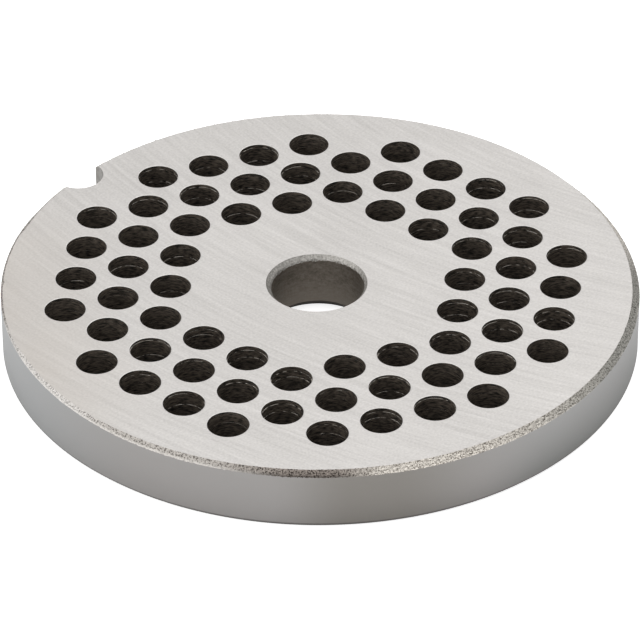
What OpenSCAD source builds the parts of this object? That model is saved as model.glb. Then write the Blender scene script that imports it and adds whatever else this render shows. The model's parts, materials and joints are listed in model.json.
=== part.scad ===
// Cutting plate of a meat grinder: a round steel disc with a bore for the feed
// screw's stud, a field of straight cutting holes and a key notch in its rim.
// Origin: on the bore's axis at the bottom face. +Z points out of the cutting
// face, and +Y points through the key notch.

/* [Plate] */
// Outer diameter of the plate
plate_d = 70; // [58:1:84]
// Thickness of the plate
plate_t = 7; // [5:0.5:10]
// Chamfer round the edge of the cutting face
top_chamfer = 0.6; // [0.2:0.05:1]
// Chamfer round the edge of the bottom face
bottom_chamfer = 0.45; // [0.2:0.05:1]

/* [Bore] */
// Diameter of the bore that the feed screw's stud turns in
bore_d = 10.2; // [8:0.1:13]
// Chamfer at the bore's upper mouth, in the cutting face
bore_top_chamfer = 0.5; // [0.2:0.05:1]
// Chamfer at its lower mouth
bore_bottom_chamfer = 1; // [0.2:0.05:1.5]

/* [Cutting holes] */
// Diameter of each cutting hole
hole_d = 4.5; // [3:0.1:5.4]
// Distance between the centres of neighbouring holes
hole_pitch = 6.1; // [5.6:0.1:8]
// Diameter of the hub, which no hole's centre comes inside
hub_d = 28; // [24:0.5:34]
// Width of the band inside the rim that no hole's centre comes into
rim_band = 6; // [5:0.5:9]

/* [Key notch] */
// Diameter of the round notch that holds the plate from turning
notch_d = 5.5; // [4:0.1:7]
// How far the notch's centre lies inside the rim
notch_inset = 0.6; // [0:0.1:1.5]

/* [Hidden] */
$fn = 96;

// How far each cut runs past the face that it opens through
cut_over = 1;
plate_r = plate_d / 2;
notch_r = plate_r - notch_inset;
notch_centre = [0, notch_r];
// Steel left between neighbouring holes, and kept between a hole and the notch
web = hole_pitch - hole_d;
// Rows of the lattice on each side of the bore, enough to pass the rim
lattice_rows = ceil(plate_r / (hole_pitch * cos(30)));

// Centre of a hole on the triangular lattice, by its column and its place in
// the column. Columns run along Y, and each is shifted by half a pitch.
function lattice_point(column, place) =
    hole_pitch * [column * cos(30), place + column / 2];

// A hole stays off the hub, the band inside the rim and the key notch
function holds_hole(centre) =
    norm(centre) >= hub_d / 2
    && norm(centre) <= plate_r - rim_band
    && norm(centre - notch_centre) >= (notch_d + hole_d) / 2 + web;

hole_centres = [
    for (column = [-lattice_rows : lattice_rows])
        for (place = [-2 * lattice_rows : 2 * lattice_rows])
            let (centre = lattice_point(column, place))
                if (holds_hole(centre)) centre
];

// The turned disc, with its bore and both chamfers of each edge
module turned_disc() {
    bore_r = bore_d / 2;
    rotate_extrude()
        polygon([
            [bore_r + bore_bottom_chamfer, 0],
            [plate_r - bottom_chamfer, 0],
            [plate_r, bottom_chamfer],
            [plate_r, plate_t - top_chamfer],
            [plate_r - top_chamfer, plate_t],
            [bore_r + bore_top_chamfer, plate_t],
            [bore_r, plate_t - bore_top_chamfer],
            [bore_r, bore_bottom_chamfer]
        ]);
}

// A straight cut through the plate's whole thickness
module through_cut(centre, d) {
    translate([centre.x, centre.y, -cut_over])
        cylinder(d = d, h = plate_t + 2 * cut_over);
}

module grinder_plate() {
    color("silver")
        difference() {
            turned_disc();
            for (centre = hole_centres)
                through_cut(centre, hole_d);
            through_cut(notch_centre, notch_d);
        }
}

grinder_plate();
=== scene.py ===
import json
import math
import random

import bmesh
import bpy
from mathutils import Matrix, Vector


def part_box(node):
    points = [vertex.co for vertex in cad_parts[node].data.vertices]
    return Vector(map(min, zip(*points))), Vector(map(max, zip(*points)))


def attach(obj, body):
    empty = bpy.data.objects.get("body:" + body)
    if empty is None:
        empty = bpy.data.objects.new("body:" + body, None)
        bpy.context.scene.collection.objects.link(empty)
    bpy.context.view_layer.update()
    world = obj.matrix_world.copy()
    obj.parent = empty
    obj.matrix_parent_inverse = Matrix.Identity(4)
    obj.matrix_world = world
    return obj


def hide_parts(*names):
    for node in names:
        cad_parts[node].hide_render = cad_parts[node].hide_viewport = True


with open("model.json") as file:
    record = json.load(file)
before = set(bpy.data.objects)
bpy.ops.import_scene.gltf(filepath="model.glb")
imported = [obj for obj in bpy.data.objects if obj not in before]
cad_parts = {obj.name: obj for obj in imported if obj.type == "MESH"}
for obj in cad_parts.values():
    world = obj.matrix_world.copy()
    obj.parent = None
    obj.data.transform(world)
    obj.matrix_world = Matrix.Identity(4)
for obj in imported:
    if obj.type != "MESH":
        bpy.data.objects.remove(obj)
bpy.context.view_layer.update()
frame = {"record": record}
mounts = {mount["name"]: mount for mount in frame["record"]["mounts"]}
mm = 0.001  # the plate is modelled in millimetres and scaled to metres at the end
low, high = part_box("grinder_plate")


# Overall shape, taken from the frame
plate = {
    "radius": mounts["rim"]["dims"]["r_mm"],
    "thickness": (high.z - low.z) / mm,
    "sharpFrom": 25.0,       # degrees between two faces, past which their edge stays sharp
}


# Materials by their place in the plate's slots
finishes = ["groundFace", "grittyChamfer", "satinRim", "boreChamfer", "bore", "holeWall",
            "holeLedge", "holeEdge", "milledNotch"]


def slotOf(name):
    return finishes.index(name)


# Mesh helpers: every band is a rolled grid whose rows are then moved to their places

def rolledBand(rows, steps):
    # A grid rolled into a ring and joined at its seam; the "row" layer tells each vertex its row
    bm = bmesh.new()
    rowLayer = bm.verts.layers.float.new("row")
    last = len(rows) - 1
    bmesh.ops.create_grid(bm, x_segments=steps, y_segments=last, size=1)
    for vert in bm.verts:
        angle = math.pi * (vert.co.x + 1)
        row = rows[round((vert.co.y + 1) / 2 * last)]
        vert[rowLayer] = row
        vert.co = (math.cos(angle), math.sin(angle), -row)
    seam = [vert for vert in bm.verts if vert.is_boundary and vert.co.x > 0.999999]
    bmesh.ops.remove_doubles(bm, verts=seam, dist=1e-5)
    return bm


def evenRows(*counts):
    # Row numbers 0 to 1 in the first count, 1 to 2 in the second, and so on
    rows = [0.0]
    for stage, count in enumerate(counts):
        rows += [stage + (step + 1) / count for step in range(count)]
    return rows


def placeRows(bm, shape):
    # Moves each vertex to where shape(row, angle) puts it, as (radius, height)
    rowLayer = bm.verts.layers.float["row"]
    for vert in bm.verts:
        angle = math.atan2(vert.co.y, vert.co.x)
        radius, height = shape(vert[rowLayer], angle)
        vert.co = (radius * math.cos(angle), radius * math.sin(angle), height)


def faceRow(bm, face):
    rowLayer = bm.verts.layers.float["row"]
    return sum(vert[rowLayer] for vert in face.verts) / len(face.verts)


def addTo(bm, part):
    # Joins a finished part to the plate's mesh
    mesh = bpy.data.meshes.new("part")
    part.to_mesh(mesh)
    part.free()
    bm.from_mesh(mesh)
    bpy.data.meshes.remove(mesh)


# Rim: rough chamfer, satin wall and small lower chamfer, open at the notch

rim = {
    "seed": 12,
    "steps": 1800,           # a column of faces every 0.12 mm
    "chamferRows": 8,
    "wallRows": 6,
    "lowerRows": 2,
    "offCentre": 0.27,       # the wall was turned a little off the bore's axis
    "offTowards": -71.0,     # degrees from +X
    "chamferWidth": 0.60,    # how far the chamfer reaches into the face, on average
    "widthRunOut": 0.20,
    "widestAt": -73.0,
    "chamferDepth": 0.44,
    "depthRunOut": 0.11,
    "deepestAt": -126.0,
    "missedAt": 131.0,       # where the belt hardly touched the edge
    "missedWithin": 17.0,    # degrees to each side
    "widthBackAt": 22.0,     # degrees from there to the full width
    "depthBackAt": (30.0, 70.0),   # and to the full depth, clockwise and then anticlockwise
    "leastWidth": 0.5,       # share of the width and of the depth that is left there
    "leastDepth": 0.3,
    "steepAt": -25.0,        # where the belt was held steeper and cut deeper
    "steepWithin": (14.0, 34.0),   # degrees to each side, all of it and then none
    "steepDepth": 0.30,
    "narrowAt": 9.0,         # where the chamfer is narrower
    "narrowWithin": (4.0, 36.0),
    "narrowBy": 0.17,
    "lowerChamfer": 0.4,
    "grit": 0.014,           # depth of the chamfer's grain
    "gritRunOut": 0.022,     # and how much more where it is roughest
    "roughestAt": -139.0,
    "roughFocus": 4,         # the higher, the shorter the roughest stretch
    "fullGritWidth": 0.3,    # on a narrower chamfer the grain is shallower
    "edgeWander": 0.03,      # how ragged the chamfer's two edges are
    "nickAt": 128.3,         # small dent in the edge of the face
    "nickWidth": 0.35,
    "nickDepth": 0.16,
}


def backTo(turn, near, far):
    # 0 within near degrees of a turn of 0, 1 beyond far degrees, smooth between
    part = min(1, max(0, (abs(math.degrees(turn)) - near) / (far - near)))
    return part * part * (3 - 2 * part)


def rimShape(dice):
    thickness = plate["thickness"]

    def turnFrom(angle, bearing):
        return (angle - math.radians(bearing) + math.pi) % (2 * math.pi) - math.pi

    def shape(row, angle):
        radius = plate["radius"] + rim["offCentre"] * math.cos(turnFrom(angle, rim["offTowards"]))
        width = rim["chamferWidth"] + rim["widthRunOut"] * math.cos(turnFrom(angle, rim["widestAt"]))
        depth = rim["chamferDepth"] + rim["depthRunOut"] * math.cos(turnFrom(angle, rim["deepestAt"]))
        depth += rim["steepDepth"] * (1 - backTo(turnFrom(angle, rim["steepAt"]), *rim["steepWithin"]))
        width -= rim["narrowBy"] * (1 - backTo(turnFrom(angle, rim["narrowAt"]), *rim["narrowWithin"]))
        missed = turnFrom(angle, rim["missedAt"])
        widthBack = backTo(missed, rim["missedWithin"], rim["widthBackAt"])
        depthBackAt = rim["depthBackAt"][1 if missed > 0 else 0]
        depthBack = backTo(missed, rim["missedWithin"], depthBackAt)
        width *= rim["leastWidth"] + (1 - rim["leastWidth"]) * widthBack
        depth *= rim["leastDepth"] + (1 - rim["leastDepth"]) * depthBack
        fromNick = turnFrom(angle, rim["nickAt"]) * radius / rim["nickWidth"]
        dent = rim["nickDepth"] * math.exp(-fromNick ** 2)
        wander = dice.gauss(0, rim["edgeWander"])
        if row == 0:
            return radius - width - dent - abs(wander), thickness
        if row < 1:
            facing = max(0, math.cos(turnFrom(angle, rim["roughestAt"])))
            coarse = rim["grit"] + rim["gritRunOut"] * facing ** rim["roughFocus"]
            grit = abs(dice.gauss(0, coarse)) * min(1, width / rim["fullGritWidth"])
            tilt = math.atan2(width, depth)
            return (radius - (width + dent) * (1 - row) - grit * math.cos(tilt),
                    thickness - depth * row - grit * math.sin(tilt))
        if row == 1:
            return radius, thickness - depth + wander
        if row <= 2:
            down = row - 1
            return radius, (thickness - depth) * (1 - down) + rim["lowerChamfer"] * down
        down = row - 2
        return radius - rim["lowerChamfer"] * down, rim["lowerChamfer"] * (1 - down)

    return shape


def makeRim():
    bm = rolledBand(evenRows(rim["chamferRows"], rim["wallRows"], rim["lowerRows"]), rim["steps"])
    placeRows(bm, rimShape(random.Random(rim["seed"])))
    for face in bm.faces:
        row = faceRow(bm, face)
        face.material_index = slotOf("grittyChamfer" if row < 1 else "satinRim")
        face.smooth = row > 1
    return bm


# Key notch: cut out of the rim's columns and given a milled wall
notch = {
    "solidCentre": Vector(mounts["key_notch"]["pos_m"]).xy / mm,
    "shallower": 0.3,        # how far outside the solid's centre the real one lies
    "radius": 2.75,
    "columns": 40,           # faces across its wall
}


def notchCentre():
    return notch["solidCentre"] + Vector((0, notch["shallower"]))


def notchHalfAngle(radius):
    # Angle between +Y and the point where a circle of that radius meets the notch
    reach = notchCentre().y
    return math.acos((radius ** 2 + reach ** 2 - notch["radius"] ** 2) / (2 * radius * reach))


def cutNotch(bm):
    # The columns in the notch go, and the two cut edges move onto the notch's circle
    gap = notchHalfAngle(plate["radius"])

    def fromNotch(point):
        return math.atan2(point.x, point.y)

    cut = [face for face in bm.faces if abs(fromNotch(face.calc_center_median())) < gap]
    bmesh.ops.delete(bm, geom=cut, context="FACES")
    rowLayer = bm.verts.layers.float["row"]
    sides = {-1: [], 1: []}
    for vert in bm.verts:
        across = [edge for edge in vert.link_edges
                  if edge.is_boundary and edge.verts[0][rowLayer] != edge.verts[1][rowLayer]]
        if across:
            side = 1 if vert.co.x > 0 else -1
            sides[side].append(vert)
    for side, verts in sides.items():
        verts.sort(key=lambda vert: vert[rowLayer])
        for vert in verts:
            radius = vert.co.xy.length
            angle = side * notchHalfAngle(radius)
            vert.co.x = radius * math.sin(angle)
            vert.co.y = radius * math.cos(angle)
    return sides


def addNotchWall(bm, sides):
    # A grid bent along the notch's circle, from one cut edge to the other
    left, right = sides[-1], sides[1]
    columns, rows = notch["columns"], len(left) - 1
    centre = notchCentre()
    ends = []
    for before, after in zip(left, right):
        start = math.atan2(before.co.x - centre.x, centre.y - before.co.y)
        stop = math.atan2(after.co.x - centre.x, centre.y - after.co.y)
        ends.append((start, stop, before.co.z, after.co.z))
    made = bmesh.ops.create_grid(bm, x_segments=columns, y_segments=rows, size=1)["verts"]
    for vert in made:
        across = (vert.co.x + 1) / 2
        start, stop, heightBefore, heightAfter = ends[round((vert.co.y + 1) / 2 * rows)]
        angle = start + (stop - start) * across
        vert.co = (centre.x + notch["radius"] * math.sin(angle),
                   centre.y - notch["radius"] * math.cos(angle),
                   heightBefore + (heightAfter - heightBefore) * across)
    for face in {face for vert in made for face in vert.link_faces}:
        face.material_index = slotOf("milledNotch")
        face.smooth = True
    bmesh.ops.remove_doubles(bm, verts=made + left + right, dist=1e-4)


# Bore: a chamfer at each mouth and a dark reamed wall

bore = {
    "seed": 5,
    "steps": 360,
    "chamferRows": 5,
    "wallRows": 14,
    "bottomRows": 2,
    "radius": mounts["bore"]["dims"]["r_mm"],
    "topChamfer": 0.47,
    "topRunOut": 0.12,       # the countersink ran a little off the bore's axis
    "topWidestAt": 129.0,
    "bottomChamfer": 1.0,
    "grit": 0.012,
    "edgeWander": 0.12,      # the wall's upper edge is ragged
}


def makeBore():
    dice = random.Random(bore["seed"])
    radius, thickness = bore["radius"], plate["thickness"]
    bottom = bore["bottomChamfer"]
    widestAt = math.radians(bore["topWidestAt"])

    def shape(row, angle):
        top = bore["topChamfer"] + bore["topRunOut"] * math.cos(angle - widestAt)
        grit = abs(dice.gauss(0, bore["grit"]))
        wander = abs(dice.gauss(0, bore["edgeWander"]))
        if row == 0:
            return radius + top, thickness
        if row < 1:
            return radius + top * (1 - row) + grit, thickness - top * row - grit
        if row == 1:
            return radius, thickness - top - wander
        if row <= 2:
            return radius, thickness - top - (thickness - top - bottom) * (row - 1)
        return radius + bottom * (row - 2), bottom * (3 - row)

    bm = rolledBand(evenRows(bore["chamferRows"], bore["wallRows"], bore["bottomRows"]), bore["steps"])
    placeRows(bm, shape)
    for face in bm.faces:
        row = faceRow(bm, face)
        face.material_index = slotOf("bore" if row > 1 else "boreChamfer")
        face.smooth = 1 < row < 2
    bmesh.ops.reverse_faces(bm, faces=bm.faces[:])
    return bm


# Cutting holes: a liner of its own at every place of the triangular lattice

holes = {
    "seed": 66,
    "radius": 2.25,
    "pitch": 6.1,
    "hubRadius": 14.0,       # no hole's centre lies inside this
    "rimBand": 6.0,          # nor within this of the rim
    "steps": 40,
    "edgeWidth": 0.07,       # narrow bevel round the mouth, given a painted highlight
    "edgeDepth": 0.03,
    "ledges": (              # the drill and the reamer each left a ledge: least and most depth, widest
        (0.25, 0.6, 0.055),
        (1.1, 2.2, 0.06),
    ),
    "ledgeFall": 0.02,
    "ledgeLeast": 0.004,     # width of a ledge that nearly went
    "ledgeLoss": 0.5,        # the higher, the more of them nearly went
    "footHeight": 0.12,      # from here down the wall opens to the full width again
}


def holeCentres():
    rows = math.ceil(plate["radius"] / holes["pitch"]) * 2
    centres = []
    for column in range(-rows, rows + 1):
        for place in range(-rows, rows + 1):
            point = Vector((column * math.cos(math.radians(30)), place + column / 2)) * holes["pitch"]
            if holes["hubRadius"] <= point.length <= plate["radius"] - holes["rimBand"]:
                centres.append(point)
    return centres


def makeHole(dice, centre):
    radius, thickness = holes["radius"], plate["thickness"]
    profile = [(radius + holes["edgeWidth"], thickness), (radius, thickness - holes["edgeDepth"])]
    ledgeRows = []
    for least, most, widest in holes["ledges"]:
        depth = dice.uniform(least, most)
        width = max(holes["ledgeLeast"], dice.uniform(-holes["ledgeLoss"] * widest, widest))
        ledgeRows.append(len(profile) + 0.5)
        profile.append((radius, thickness - depth))
        radius -= width
        profile.append((radius, thickness - depth - holes["ledgeFall"]))
    profile += [(radius, thickness / 2), (radius, holes["footHeight"]), (holes["radius"], 0)]
    bm = rolledBand([float(index) for index in range(len(profile))], holes["steps"])
    placeRows(bm, lambda row, angle: profile[round(row)])
    for face in bm.faces:
        row = faceRow(bm, face)
        name = "holeLedge" if row in ledgeRows else "holeWall"
        face.material_index = slotOf("holeEdge" if row < 1 else name)
        face.smooth = row > 1
    bmesh.ops.reverse_faces(bm, faces=bm.faces[:])
    bmesh.ops.translate(bm, verts=bm.verts[:], vec=centre.to_3d())
    return bm


# The plate

def closeFace(bm, height):
    # Fills the flat face at that height, round all the open edges that lie in it
    edges = [edge for edge in bm.edges if edge.is_boundary
             and all(abs(vert.co.z - height) < 1e-4 for vert in edge.verts)]
    up = 1 if height > 0 else -1
    made = bmesh.ops.triangle_fill(bm, use_beauty=True, use_dissolve=False, edges=edges,
                                   normal=(0, 0, up))
    for face in made["geom"]:
        if isinstance(face, bmesh.types.BMFace):
            face.material_index = slotOf("groundFace")
            face.smooth = False


def makePlate():
    bm = makeRim()
    sides = cutNotch(bm)
    addNotchWall(bm, sides)
    addTo(bm, makeBore())
    dice = random.Random(holes["seed"])
    for centre in holeCentres():
        addTo(bm, makeHole(dice, centre))
    closeFace(bm, plate["thickness"])
    closeFace(bm, 0)
    bmesh.ops.recalc_face_normals(bm, faces=bm.faces[:])
    sharpFrom = math.radians(plate["sharpFrom"])
    for edge in bm.edges:
        if edge.is_manifold and edge.calc_face_angle(0) > sharpFrom:
            edge.smooth = False
    bmesh.ops.scale(bm, vec=(mm, mm, mm), verts=bm.verts[:])
    openEdges = sum(1 for edge in bm.edges if not edge.is_manifold)
    volume = bm.calc_volume() / mm ** 3
    mesh = bpy.data.meshes.new("grinderPlate")
    bm.to_mesh(mesh)
    bm.free()
    print(f"plate: {len(mesh.polygons)} faces, {openEdges} open edges, {volume:.0f} cubic mm")
    piece = bpy.data.objects.new("grinderPlateGround", mesh)
    bpy.context.scene.collection.objects.link(piece)
    return piece


# Materials

def linear(hexColor):
    # sRGB hex to the linear colour that a shader takes
    parts = [int(hexColor[place:place + 2], 16) / 255 for place in (1, 3, 5)]
    parts = [part / 12.92 if part <= 0.04045 else ((part + 0.055) / 1.055) ** 2.4 for part in parts]
    return parts + [1.0]


def addNode(tree, kind, settings=None, inputs=None):
    # Adds a node, sets its properties, then sets or links its inputs; a text is a colour in sRGB hex
    node = tree.nodes.new("ShaderNode" + kind)
    for name, value in (settings or {}).items():
        setattr(node, name, value)
    for name, value in (inputs or {}).items():
        if isinstance(value, bpy.types.Node):
            value = value.outputs[0]
        if isinstance(value, bpy.types.NodeSocket):
            tree.links.new(value, node.inputs[name])
        else:
            node.inputs[name].default_value = linear(value) if isinstance(value, str) else value
    return node


def newMaterial(name):
    material = bpy.data.materials.new(name)
    material.use_nodes = True
    material.node_tree.nodes.clear()
    return material, material.node_tree


def zone(tree, where, bearing, before, after):
    # 1 round a bearing from the plate's axis, and 0 beyond; before and after are where it fades, in
    # degrees from the bearing
    turned = addNode(tree, "Mapping", inputs={"Vector": where, "Rotation": (0, 0, -math.radians(bearing))})
    flat = addNode(tree, "SeparateXYZ", inputs={0: turned})
    angle = addNode(tree, "Math", {"operation": "ARCTAN2"}, {0: flat.outputs["Y"], 1: flat.outputs["X"]})
    sides = []
    for near, far in ((-before[0], -before[1]), after):
        sides.append(addNode(tree, "MapRange", {"interpolation_type": "SMOOTHSTEP"}, {
            "Value": angle, "From Min": math.radians(far), "From Max": math.radians(near)}))
    return addNode(tree, "Math", {"operation": "MULTIPLY"}, {0: sides[0], 1: sides[1]})


lump = 0.5  # how wide a lump of the noise texture is at a scale of 1
colorMix = {"data_type": "RGBA"}  # makes a Mix node blend input 6 into input 7, as its output 2


def noiseScale(size):
    # For lumps that are about that many mm across
    return lump / (size * mm)


ground = {
    "light": "#CECBC8",
    "dark": "#B6B3B0",
    "blendFrom": (1.2, 2.2),   # sum of the patterns that is darkest and lightest
    "roughness": 0.36,
    "wheelCentre": (106, 0),
    "marks": ((0.35, 9.0, 1.0), (0.16, 3.0, 0.8)),   # width, length and weight; real ones are finer
    "speckle": 0.13,
    "speckleWeight": 1.1,
    "patch": 7.0,
    "patchWeight": 0.5,
    "markDepth": 0.006,
    "stain": "#B8B0A7",      # faint straw tint, worn in from the edge by handling
    "stainZone": (142, (8, 50), (8, 50)),
    "stainFrom": (23, 36),   # distance from the axis at which it starts and at which it is full
}


def groundSteel():
    # Stainless steel ground flat by a cup wheel: a bright warm grey crossed by long shallow arcs
    material, tree = newMaterial("groundStainlessSteel")
    where = addNode(tree, "TexCoord").outputs["Object"]
    # Measured from the wheel's centre backwards, so that the angle's jump isn't on the plate
    centre = [part * mm for part in ground["wheelCentre"]] + [0]
    fromWheel = addNode(tree, "VectorMath", {"operation": "SUBTRACT"}, {0: centre, 1: where})
    flat = addNode(tree, "SeparateXYZ", inputs={0: fromWheel})
    radius = addNode(tree, "VectorMath", {"operation": "LENGTH"}, {0: fromWheel}).outputs["Value"]
    angle = addNode(tree, "Math", {"operation": "ARCTAN2"}, {0: flat.outputs["Y"], 1: flat.outputs["X"]})
    wheelRadius = math.hypot(*ground["wheelCentre"])
    patches = addNode(tree, "TexNoise", inputs={"Vector": where, "Scale": noiseScale(ground["patch"])})
    speckle = addNode(tree, "TexNoise", inputs={
        "Vector": where, "Scale": noiseScale(ground["speckle"]), "Detail": 1.0})
    patterns = [(speckle, ground["speckleWeight"]), (patches, ground["patchWeight"])]
    for width, length, weight in ground["marks"]:
        along = addNode(tree, "Math", {"operation": "MULTIPLY"}, {
            0: angle, 1: lump * wheelRadius / length})
        across = addNode(tree, "Math", {"operation": "MULTIPLY"}, {0: radius, 1: noiseScale(width)})
        marks = addNode(tree, "CombineXYZ", inputs={0: across, 1: along})
        patterns.append((addNode(tree, "TexNoise", inputs={"Vector": marks, "Scale": 1.0}), weight))
    total = 0
    for pattern, weight in patterns:
        total = addNode(tree, "Math", {"operation": "MULTIPLY_ADD"}, {0: pattern, 1: weight, 2: total})
    least, most = ground["blendFrom"]
    blend = addNode(tree, "MapRange", inputs={"Value": total, "From Min": least, "From Max": most})
    color = addNode(tree, "Mix", colorMix, {0: blend, 6: ground["dark"], 7: ground["light"]}).outputs[2]
    fromAxis = addNode(tree, "VectorMath", {"operation": "LENGTH"}, {0: where}).outputs["Value"]
    start, full = ground["stainFrom"]
    outward = addNode(tree, "MapRange", inputs={
        "Value": fromAxis, "From Min": start * mm, "From Max": full * mm})
    handled = zone(tree, where, *ground["stainZone"])
    stain = addNode(tree, "Math", {"operation": "MULTIPLY"}, {0: outward, 1: handled})
    stain = addNode(tree, "Math", {"operation": "MULTIPLY"}, {0: stain, 1: patches})
    color = addNode(tree, "Mix", colorMix, {0: stain, 6: color, 7: ground["stain"]}).outputs[2]
    bump = addNode(tree, "Bump", inputs={
        "Height": total, "Strength": 0.3, "Distance": ground["markDepth"] * mm})
    shader = addNode(tree, "BsdfPrincipled", inputs={
        "Base Color": color, "Metallic": 1.0, "Roughness": ground["roughness"], "Normal": bump})
    addNode(tree, "OutputMaterial", inputs={"Surface": shader})
    return material


chamferFinish = {
    "grain": 0.09,                     # the real grains are a little finer
    "grainCut": (0.37, 0.54),          # noise below which all is pit, and above which all is bright
    "lineRows": (0.55, 0.9),           # part of the way down at which the line starts and is full
    "lineShare": 0.7,
    "roughness": 0.45,
    "torn": ("#867F77", "#E2DCD3"),    # dark and light grain
    "shadeAndGlint": ("#625D58", "#BDB8B2"),    # painted shade: a dimmer copy of the grain where the softbox's reflection is strongest
    "shadeAndGlintLine": "#DDD9D4",             # with a painted highlight line along the wall
    "start": ("#8F8B86", "#E0DCD8"),   # painted glint: a brighter copy of the grain
    # painted highlight line along the wall
    "startLine": "#E4E1DD",
    "smooth": ("#615F5A", "#A5A39D"),  # where it only touched
    "scale": ("#2B2520", "#978E87"),   # painted dark reflection at the front, in brown
    "scaleLine": "#2E2A27",            # and a painted shadow line along the wall
    "shadeAndGlintZone": (172, (60, 80), (34, 46)),
    "startZone": (158, (14, 20), (9, 26)),
    "smoothZone": (292, (6, 50), (14, 34)),
    "scaleZone": (219, (4, 22), (2, 13)),
}


def grittyChamfer():
    # Edge broken by a coarse belt: torn bright grains with dark pits between them; some zones hold painted
    # shade, a painted glint and a painted dark reflection
    material, tree = newMaterial("beltGroundSteel")
    where = addNode(tree, "TexCoord").outputs["Object"]
    grains = addNode(tree, "TexNoise", inputs={
        "Vector": where, "Scale": noiseScale(chamferFinish["grain"]), "Roughness": 0.6})
    pit, bright = chamferFinish["grainCut"]
    blend = addNode(tree, "MapRange", inputs={"Value": grains, "From Min": pit, "From Max": bright})
    dark, light = chamferFinish["torn"]
    color = addNode(tree, "Mix", colorMix, {0: blend, 6: dark, 7: light}).outputs[2]
    row = addNode(tree, "Attribute", {"attribute_name": "row"}).outputs["Fac"]
    start, full = chamferFinish["lineRows"]
    line = addNode(tree, "MapRange", inputs={
        "Value": row, "From Min": start, "From Max": full, "To Max": chamferFinish["lineShare"]})
    # the zones round bearings 172, 158 and 219 are painted shade, a painted glint and a painted dark
    # reflection; their lines are painted highlights at 172 and 158 and a painted shadow at 219
    for name in ("shadeAndGlint", "start", "smooth", "scale"):
        dark, light = chamferFinish[name]
        other = addNode(tree, "Mix", colorMix, {0: blend, 6: dark, 7: light}).outputs[2]
        lineColor = chamferFinish.get(name + "Line")
        if lineColor:
            other = addNode(tree, "Mix", colorMix, {0: line, 6: other, 7: lineColor}).outputs[2]
        there = zone(tree, where, *chamferFinish[name + "Zone"])
        color = addNode(tree, "Mix", colorMix, {0: there, 6: color, 7: other}).outputs[2]
    shader = addNode(tree, "BsdfPrincipled", inputs={
        "Base Color": color, "Metallic": 1.0, "Roughness": chamferFinish["roughness"]})
    addNode(tree, "OutputMaterial", inputs={"Surface": shader})
    return material


rimFinish = {
    # the rim's own grey, with a faint blue cast that is a painted reflection tint
    "cool": "#BBBCBC",
    # painted reflection tint: warmer and a little darker at the front
    "warmReflectionTint": "#B5B2B0",
    "far": ("#B9B8B7", "#A2A2A0"),   # painted shade: lighter at its upper and darker at its lower edge, the floor's shadow in its reflection
    "darkReflection": "#9F9B96",       # painted dark reflection at the front
    "paintedFootLine": "#74716E",
    "warmReflectionTintZone": (221, (30, 68), (30, 68)),
    "farZone": (281, (16, 36), (10, 30)),
    "darkReflectionZone": (226, (1, 16), (5, 26)),
    "bottomRows": (1.97, 2.0),       # painted shade: thin dark line at the foot of the wall
    "cloud": 1.2,
    "cloudDepth": 0.01,
    "roughness": 0.36,
}


def satinRim():
    # Turned edge tumbled to an even satin. Its warm front and faint blue cast beyond are painted
    # reflection tints, its darker lower edge at the front right and dark line at the foot are painted
    # shade, and its dark patch at the front is a painted reflection
    material, tree = newMaterial("tumbledSteel")
    where = addNode(tree, "TexCoord").outputs["Object"]
    row = addNode(tree, "Attribute", {"attribute_name": "row"}).outputs["Fac"]
    # painted shade: the colour darkens down the wall, standing for the floor's shadow in its reflection
    down = addNode(tree, "MapRange", inputs={"Value": row, "From Min": 1.0, "From Max": 2.0})
    upper, lower = rimFinish["far"]
    far = addNode(tree, "Mix", colorMix, {0: down, 6: upper, 7: lower}).outputs[2]
    # painted reflection and painted shade by bearing round the axis: a warm tint at the front, the floor's
    # shadow reflected at the front right, a dark reflection at the front
    color = rimFinish["cool"]
    for name, tint in (("warmReflectionTint", rimFinish["warmReflectionTint"]), ("far", far), ("darkReflection", rimFinish["darkReflection"])):
        there = zone(tree, where, *rimFinish[name + "Zone"])
        color = addNode(tree, "Mix", colorMix, {0: there, 6: color, 7: tint}).outputs[2]
    # painted shade along the foot of the wall
    start, full = rimFinish["bottomRows"]
    bottom = addNode(tree, "MapRange", inputs={"Value": row, "From Min": start, "From Max": full})
    color = addNode(tree, "Mix", colorMix, {0: bottom, 6: color, 7: rimFinish["paintedFootLine"]}).outputs[2]
    clouds = addNode(tree, "TexNoise", inputs={
        "Vector": where, "Scale": noiseScale(rimFinish["cloud"]), "Detail": 3.0})
    bump = addNode(tree, "Bump", inputs={
        "Height": clouds, "Strength": 0.3, "Distance": rimFinish["cloudDepth"] * mm})
    shader = addNode(tree, "BsdfPrincipled", inputs={
        "Base Color": color, "Metallic": 1.0, "Roughness": rimFinish["roughness"], "Normal": bump})
    addNode(tree, "OutputMaterial", inputs={"Surface": shader})
    return material


plainFinishes = {
    "boreChamfer": {         # turned steel, bright with a coarse grain
        "name": "turnedSteel", "light": "#C6C3BE", "dark": "#8E8B86", "roughness": 0.5, "grain": 0.12,
        "bumpDepth": 0.02,
    },
    "holeWall": {            # black heat scale, drawn out round the hole as the tool turned
        "name": "blackScale", "light": "#655C52", "dark": "#100E0C", "roughness": 0.45, "grain": 0.12,
        "metallic": 0.0, "bumpDepth": 0.05, "stretch": (0.35, 0.35, 1.9), "cut": 0.38,
    },
    "holeLedge": {           # scale scratched through to bright steel in places
        "name": "scratchedLedge", "light": "#C4BEB6", "dark": "#1B1815", "roughness": 0.5, "grain": 0.35,
        "cut": 0.44,
    },
    "holeEdge": {            # painted highlight: the bevel round the mouth a little brighter than the face
        "name": "paintedHighlightSteel", "light": "#DDDBD8", "dark": "#CFCDCA", "roughness": 0.5, "grain": 0.5,
    },
    "milledNotch": {         # milled steel, an even grey
        "name": "milledSteel", "light": "#B3B1AD", "dark": "#9C9995", "roughness": 0.4, "grain": 0.3,
    },
}


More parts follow.
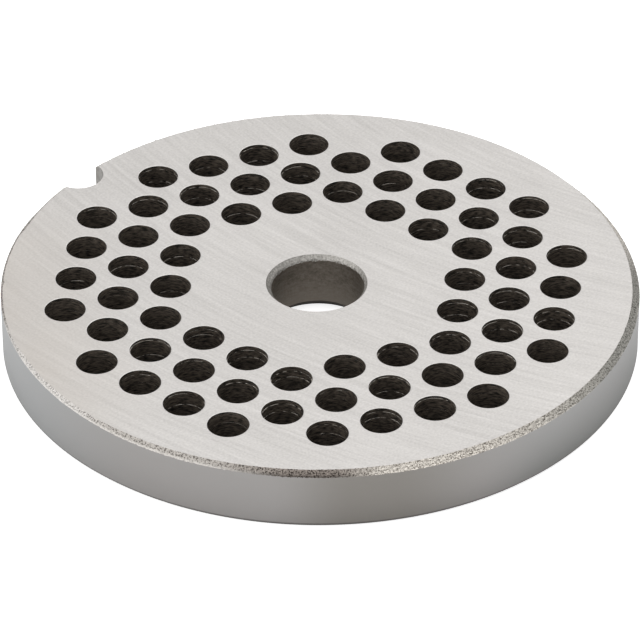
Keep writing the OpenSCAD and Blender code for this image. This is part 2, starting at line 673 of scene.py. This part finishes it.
def plainSteel(name, light, dark, roughness, grain, metallic=1.0, bumpDepth=0.004, stretch=(1, 1, 1),
               cut=0.3):
    # Light and dark grains of one size; the higher the cut, the harder the step between them
    material, tree = newMaterial(name)
    where = addNode(tree, "TexCoord").outputs["Object"]
    drawn = addNode(tree, "VectorMath", {"operation": "MULTIPLY"}, {0: where, 1: stretch})
    spots = addNode(tree, "TexNoise", inputs={
        "Vector": drawn, "Scale": noiseScale(grain), "Detail": 3.0, "Roughness": 0.6})
    blend = addNode(tree, "MapRange", inputs={"Value": spots, "From Min": cut, "From Max": 1 - cut})
    color = addNode(tree, "Mix", colorMix, {0: blend, 6: dark, 7: light}).outputs[2]
    bump = addNode(tree, "Bump", inputs={"Height": spots, "Strength": 0.6, "Distance": bumpDepth * mm})
    shader = addNode(tree, "BsdfPrincipled", inputs={
        "Base Color": color, "Metallic": metallic, "Roughness": roughness, "Normal": bump})
    addNode(tree, "OutputMaterial", inputs={"Surface": shader})
    return material


reamed = {
    "light": "#A9A197",
    "dark": "#6F6860",
    "paintedBounce": "#A29A91",       # painted bounce light: lighter and more even towards the lower mouth
    # painted shade: a dark line at the foot of the wall
    "paintedLipShade": "#625D57",
    "ring": 0.14,            # between the reamer's rings
    "ringStretch": (0.25, 0.25, 1.0),
    "spot": 0.14,
    "blendFrom": (0.6, 1.4),     # sum of rings and spots that is darkest and lightest
    "paintedBounceRows": (1.4, 1.95),     # part of the way down, past 1, at which it starts and is full
    "paintedBounceShare": 0.8,
    "paintedLipShadeRows": (1.982, 1.988),
    "toolDepth": 0.02,
    "roughness": 0.5,
}


def reamedSteel():
    # Heat tinted wall of the bore: faint rings from the reamer and brown spots, painted bounce light
    # towards the lower mouth and a painted shade line at its foot
    material, tree = newMaterial("reamedSteel")
    where = addNode(tree, "TexCoord").outputs["Object"]
    drawn = addNode(tree, "VectorMath", {"operation": "MULTIPLY"}, {0: where, 1: reamed["ringStretch"]})
    rings = addNode(tree, "TexNoise", inputs={
        "Vector": drawn, "Scale": noiseScale(reamed["ring"]), "Detail": 3.0, "Roughness": 0.6})
    spots = addNode(tree, "TexNoise", inputs={
        "Vector": where, "Scale": noiseScale(reamed["spot"]), "Detail": 3.0, "Roughness": 0.7})
    total = addNode(tree, "Math", {"operation": "ADD"}, {0: rings, 1: spots})
    least, most = reamed["blendFrom"]
    blend = addNode(tree, "MapRange", inputs={"Value": total, "From Min": least, "From Max": most})
    color = addNode(tree, "Mix", colorMix, {0: blend, 6: reamed["dark"], 7: reamed["light"]}).outputs[2]
    row = addNode(tree, "Attribute", {"attribute_name": "row"}).outputs["Fac"]
    # painted bounce light from the floor, towards the lower mouth
    start, full = reamed["paintedBounceRows"]
    paintedBounce = addNode(tree, "MapRange", inputs={
        "Value": row, "From Min": start, "From Max": full, "To Max": reamed["paintedBounceShare"]})
    color = addNode(tree, "Mix", colorMix, {0: paintedBounce, 6: color, 7: reamed["paintedBounce"]}).outputs[2]
    # painted shade line at the wall's foot
    start, full = reamed["paintedLipShadeRows"]
    paintedLipShade = addNode(tree, "MapRange", inputs={"Value": row, "From Min": start, "From Max": full})
    color = addNode(tree, "Mix", colorMix, {0: paintedLipShade, 6: color, 7: reamed["paintedLipShade"]}).outputs[2]
    bump = addNode(tree, "Bump", inputs={
        "Height": total, "Strength": 0.6, "Distance": reamed["toolDepth"] * mm})
    shader = addNode(tree, "BsdfPrincipled", inputs={
        "Base Color": color, "Metallic": 1.0, "Roughness": reamed["roughness"], "Normal": bump})
    addNode(tree, "OutputMaterial", inputs={"Surface": shader})
    return material


def plateMaterials():
    made = {
        "groundFace": groundSteel(),
        "grittyChamfer": grittyChamfer(),
        "satinRim": satinRim(),
        "bore": reamedSteel(),
    }
    for name, settings in plainFinishes.items():
        made[name] = plainSteel(**settings)
    return made


# Stage: white floor, even studio light and the camera

stage = {
    "floorSize": 4.0,        # metres
    "floorColor": "#DDDDDD",
    "floorRoughness": 0.9,
    "cameraGlow": 0.8,       # lifts the floor to white where the camera looks at it
    "mirrorGlow": 0.05,      # the same in reflections
}


def makeFloor():
    bm = bmesh.new()
    bmesh.ops.create_grid(bm, x_segments=1, y_segments=1, size=stage["floorSize"] / 2)
    mesh = bpy.data.meshes.new("floor")
    bm.to_mesh(mesh)
    bm.free()
    floor = bpy.data.objects.new("floor", mesh)
    bpy.context.scene.collection.objects.link(floor)
    material, tree = newMaterial("paperFloor")
    rays = addNode(tree, "LightPath")
    seen = addNode(tree, "Math", {"operation": "MULTIPLY"},
                   {0: rays.outputs["Is Camera Ray"], 1: stage["cameraGlow"]})
    mirrored = addNode(tree, "Math", {"operation": "MAXIMUM"},
                       {0: rays.outputs["Is Glossy Ray"], 1: rays.outputs["Is Transmission Ray"]})
    glow = addNode(tree, "Math", {"operation": "MULTIPLY_ADD"},
                   {0: mirrored, 1: stage["mirrorGlow"], 2: seen})
    shader = addNode(tree, "BsdfPrincipled", inputs={
        "Base Color": stage["floorColor"], "Roughness": stage["floorRoughness"], "Specular IOR Level": 0.0,
        "Emission Color": (1, 1, 1, 1), "Emission Strength": glow})
    addNode(tree, "OutputMaterial", inputs={"Surface": shader})
    mesh.materials.append(material)


studio = {
    "fill": 0.22,            # light from everywhere else
    "softboxes": (           # bearing from +X and height in degrees, half width in degrees, strength
        (154, 25, 42.0, 1.4),
        (21, 56, 25.2, 1.8),
        (249, 55, 12.0, 1.3),
        (315, 18, 30.0, 0.3),
    ),
}


def makeWorld():
    # Each softbox is a round soft-edged glow on the sky
    world = bpy.data.worlds.new("studio")
    world.use_nodes = True
    tree = world.node_tree
    tree.nodes.clear()
    where = addNode(tree, "TexCoord").outputs["Generated"]
    total = studio["fill"]
    for bearing, height, halfWidth, strength in studio["softboxes"]:
        turn, tip = math.radians(bearing), math.radians(height)
        aim = (math.cos(turn) * math.cos(tip), math.sin(turn) * math.cos(tip), math.sin(tip))
        sharpness = math.log(2) / (1 - math.cos(math.radians(halfWidth)))
        facing = addNode(tree, "VectorMath", {"operation": "DOT_PRODUCT"}, {0: where, 1: aim})
        fall = addNode(tree, "Math", {"operation": "MULTIPLY_ADD"},
                       {0: facing.outputs["Value"], 1: sharpness, 2: -sharpness})
        glow = addNode(tree, "Math", {"operation": "EXPONENT"}, {0: fall})
        total = addNode(tree, "Math", {"operation": "MULTIPLY_ADD"}, {0: glow, 1: strength, 2: total})
    seen = addNode(tree, "LightPath").outputs["Is Camera Ray"]
    total = addNode(tree, "Math", {"operation": "MAXIMUM"}, {0: total, 1: seen})
    light = addNode(tree, "Background", inputs={"Color": (1, 1, 1, 1), "Strength": total})
    addNode(tree, "OutputWorld", inputs={"Surface": light})
    bpy.context.scene.world = world


camera = {
    "azimuth": -51.05,       # degrees; 0 looks along +Y
    "elevation": 34.86,
    "roll": -0.28,
    "distance": 539.4,       # from the middle of the bore's upper mouth
    "right": 0.243,          # how far the view is moved across and up, in mm
    "up": -4.103,
    "lens": 276.73,
    "sensor": 36.0,
}


def makeCamera():
    turn, tip, roll = (math.radians(camera[name]) for name in ("azimuth", "elevation", "roll"))
    back = Vector((math.sin(turn) * math.cos(tip), -math.cos(turn) * math.cos(tip), math.sin(tip)))
    right = Vector((math.cos(turn), math.sin(turn), 0))
    up = back.cross(right)
    rolledRight = right * math.cos(roll) + up * math.sin(roll)
    rolledUp = up * math.cos(roll) - right * math.sin(roll)
    target = Vector((0, 0, plate["thickness"]))
    moved = rolledRight * camera["right"] + rolledUp * camera["up"]
    spot = (target + back * camera["distance"] + moved) * mm
    data = bpy.data.cameras.new("camera")
    data.lens = camera["lens"]
    data.sensor_width = camera["sensor"]
    data.clip_start = 0.01
    seat = bpy.data.objects.new("camera", data)
    axes = Matrix((rolledRight, rolledUp, back)).transposed().to_4x4()
    seat.matrix_world = Matrix.Translation(spot) @ axes
    bpy.context.scene.collection.objects.link(seat)
    bpy.context.scene.camera = seat


# Put together

piece = makePlate()
materials = plateMaterials()
for name in finishes:
    piece.data.materials.append(materials[name])
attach(piece, "root")
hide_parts("grinder_plate")
print(f"materials: {len(piece.data.materials)} on the plate")

makeFloor()
makeWorld()
print(f"studio: floor and {len(studio['softboxes'])} softboxes")
makeCamera()
bpy.context.scene.view_settings.view_transform = "Standard"
print("camera: set")
